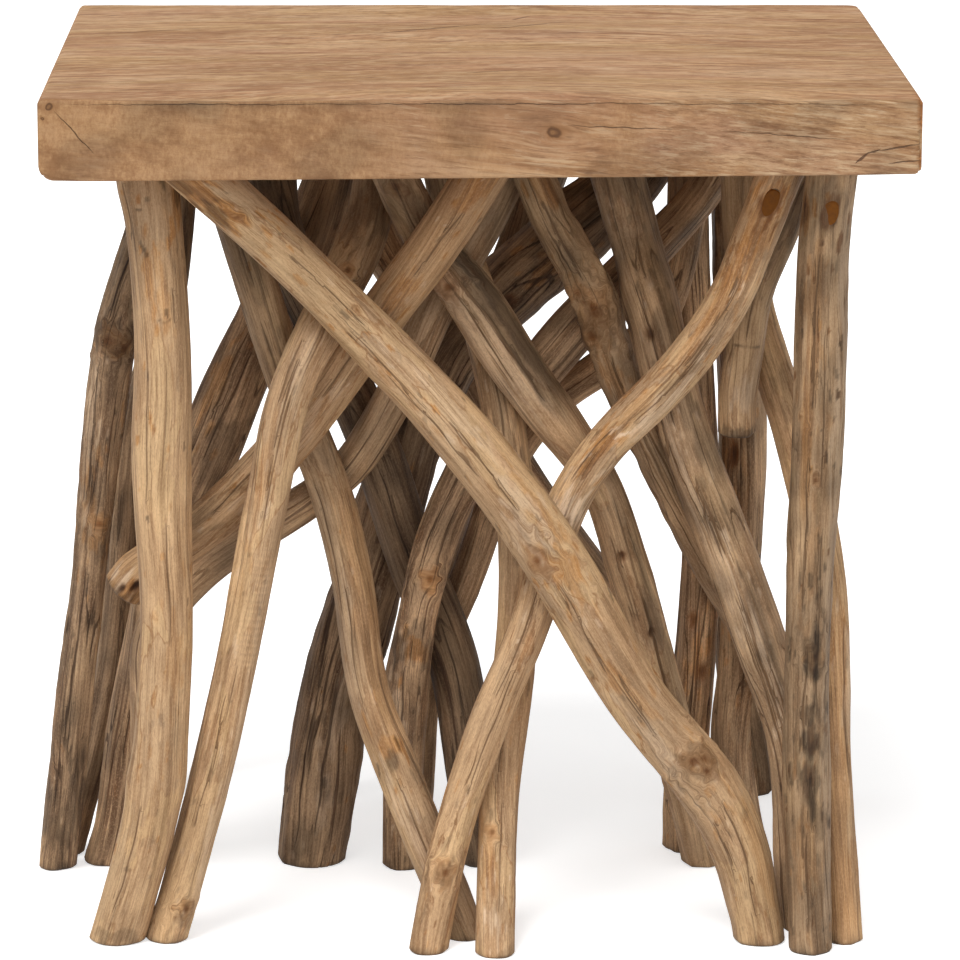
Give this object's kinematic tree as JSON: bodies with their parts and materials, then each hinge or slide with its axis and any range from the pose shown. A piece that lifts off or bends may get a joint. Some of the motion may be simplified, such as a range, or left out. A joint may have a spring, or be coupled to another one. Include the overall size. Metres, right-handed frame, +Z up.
{
  "type": "branch coffee table",
  "caption": "Low rustic table: a thick rectangular wooden top carried by a tangle of bent, leaning debarked branches cut flat at the floor.",
  "frame": {"origin": "on the floor, under the middle of the whole outline; the back left branch stands out past the top's left end, so the top's middle is 9.4 mm to the right of it", "axes": "+Z up, +X to the right seen from the front along the top's length, +Y to the back"},
  "size_m": [0.469, 0.36, 0.458],
  "materials": {
    "top_wood": "bleached, lightly brushed teak with open grain",
    "pale_branch_wood": "debarked and sanded, pale tan with brown streaks",
    "grey_branch_wood": "weathered grey brown, checked",
    "plug_wood": "brown filler, flush",
    "pin_wood": "plain dowel, hidden",
    "screw_steel": "zinc plated, hidden"
  },
  "bodies": {
    "root": {"table_top": "top_wood", "front_left_post": "pale_branch_wood", "back_left_post": "grey_branch_wood", "thin_left_branch": "grey_branch_wood", "left_back_lean": "grey_branch_wood", "left_s_branch": "pale_branch_wood", "left_lean_branch": "pale_branch_wood", "big_diagonal": "pale_branch_wood", "golden_diagonal": "pale_branch_wood", "grey_diagonal": "pale_branch_wood", "far_diagonal": "grey_branch_wood", "thick_bent_branch": "grey_branch_wood", "long_bent_branch": "grey_branch_wood", "shadow_branch": "grey_branch_wood", "dark_right_lean": "grey_branch_wood", "centre_s_branch": "pale_branch_wood", "s_curve_branch": "pale_branch_wood", "bowed_branch": "pale_branch_wood", "upper_centre_branch": "pale_branch_wood", "wide_right_branch": "pale_branch_wood", "right_back_post": "grey_branch_wood", "right_mid_post": "grey_branch_wood", "short_right_branch": "pale_branch_wood", "outer_right_branch": "pale_branch_wood", "front_right_post": "pale_branch_wood", "rear_left_post": "grey_branch_wood", "rear_left_lean": "grey_branch_wood", "rear_centre_branch": "grey_branch_wood", "rear_right_lean": "grey_branch_wood", "rear_right_post": "grey_branch_wood", "head_screws": "screw_steel", "filler_plugs": "plug_wood", "crossing_pins": "pin_wood"}
  },
  "joints": []
}
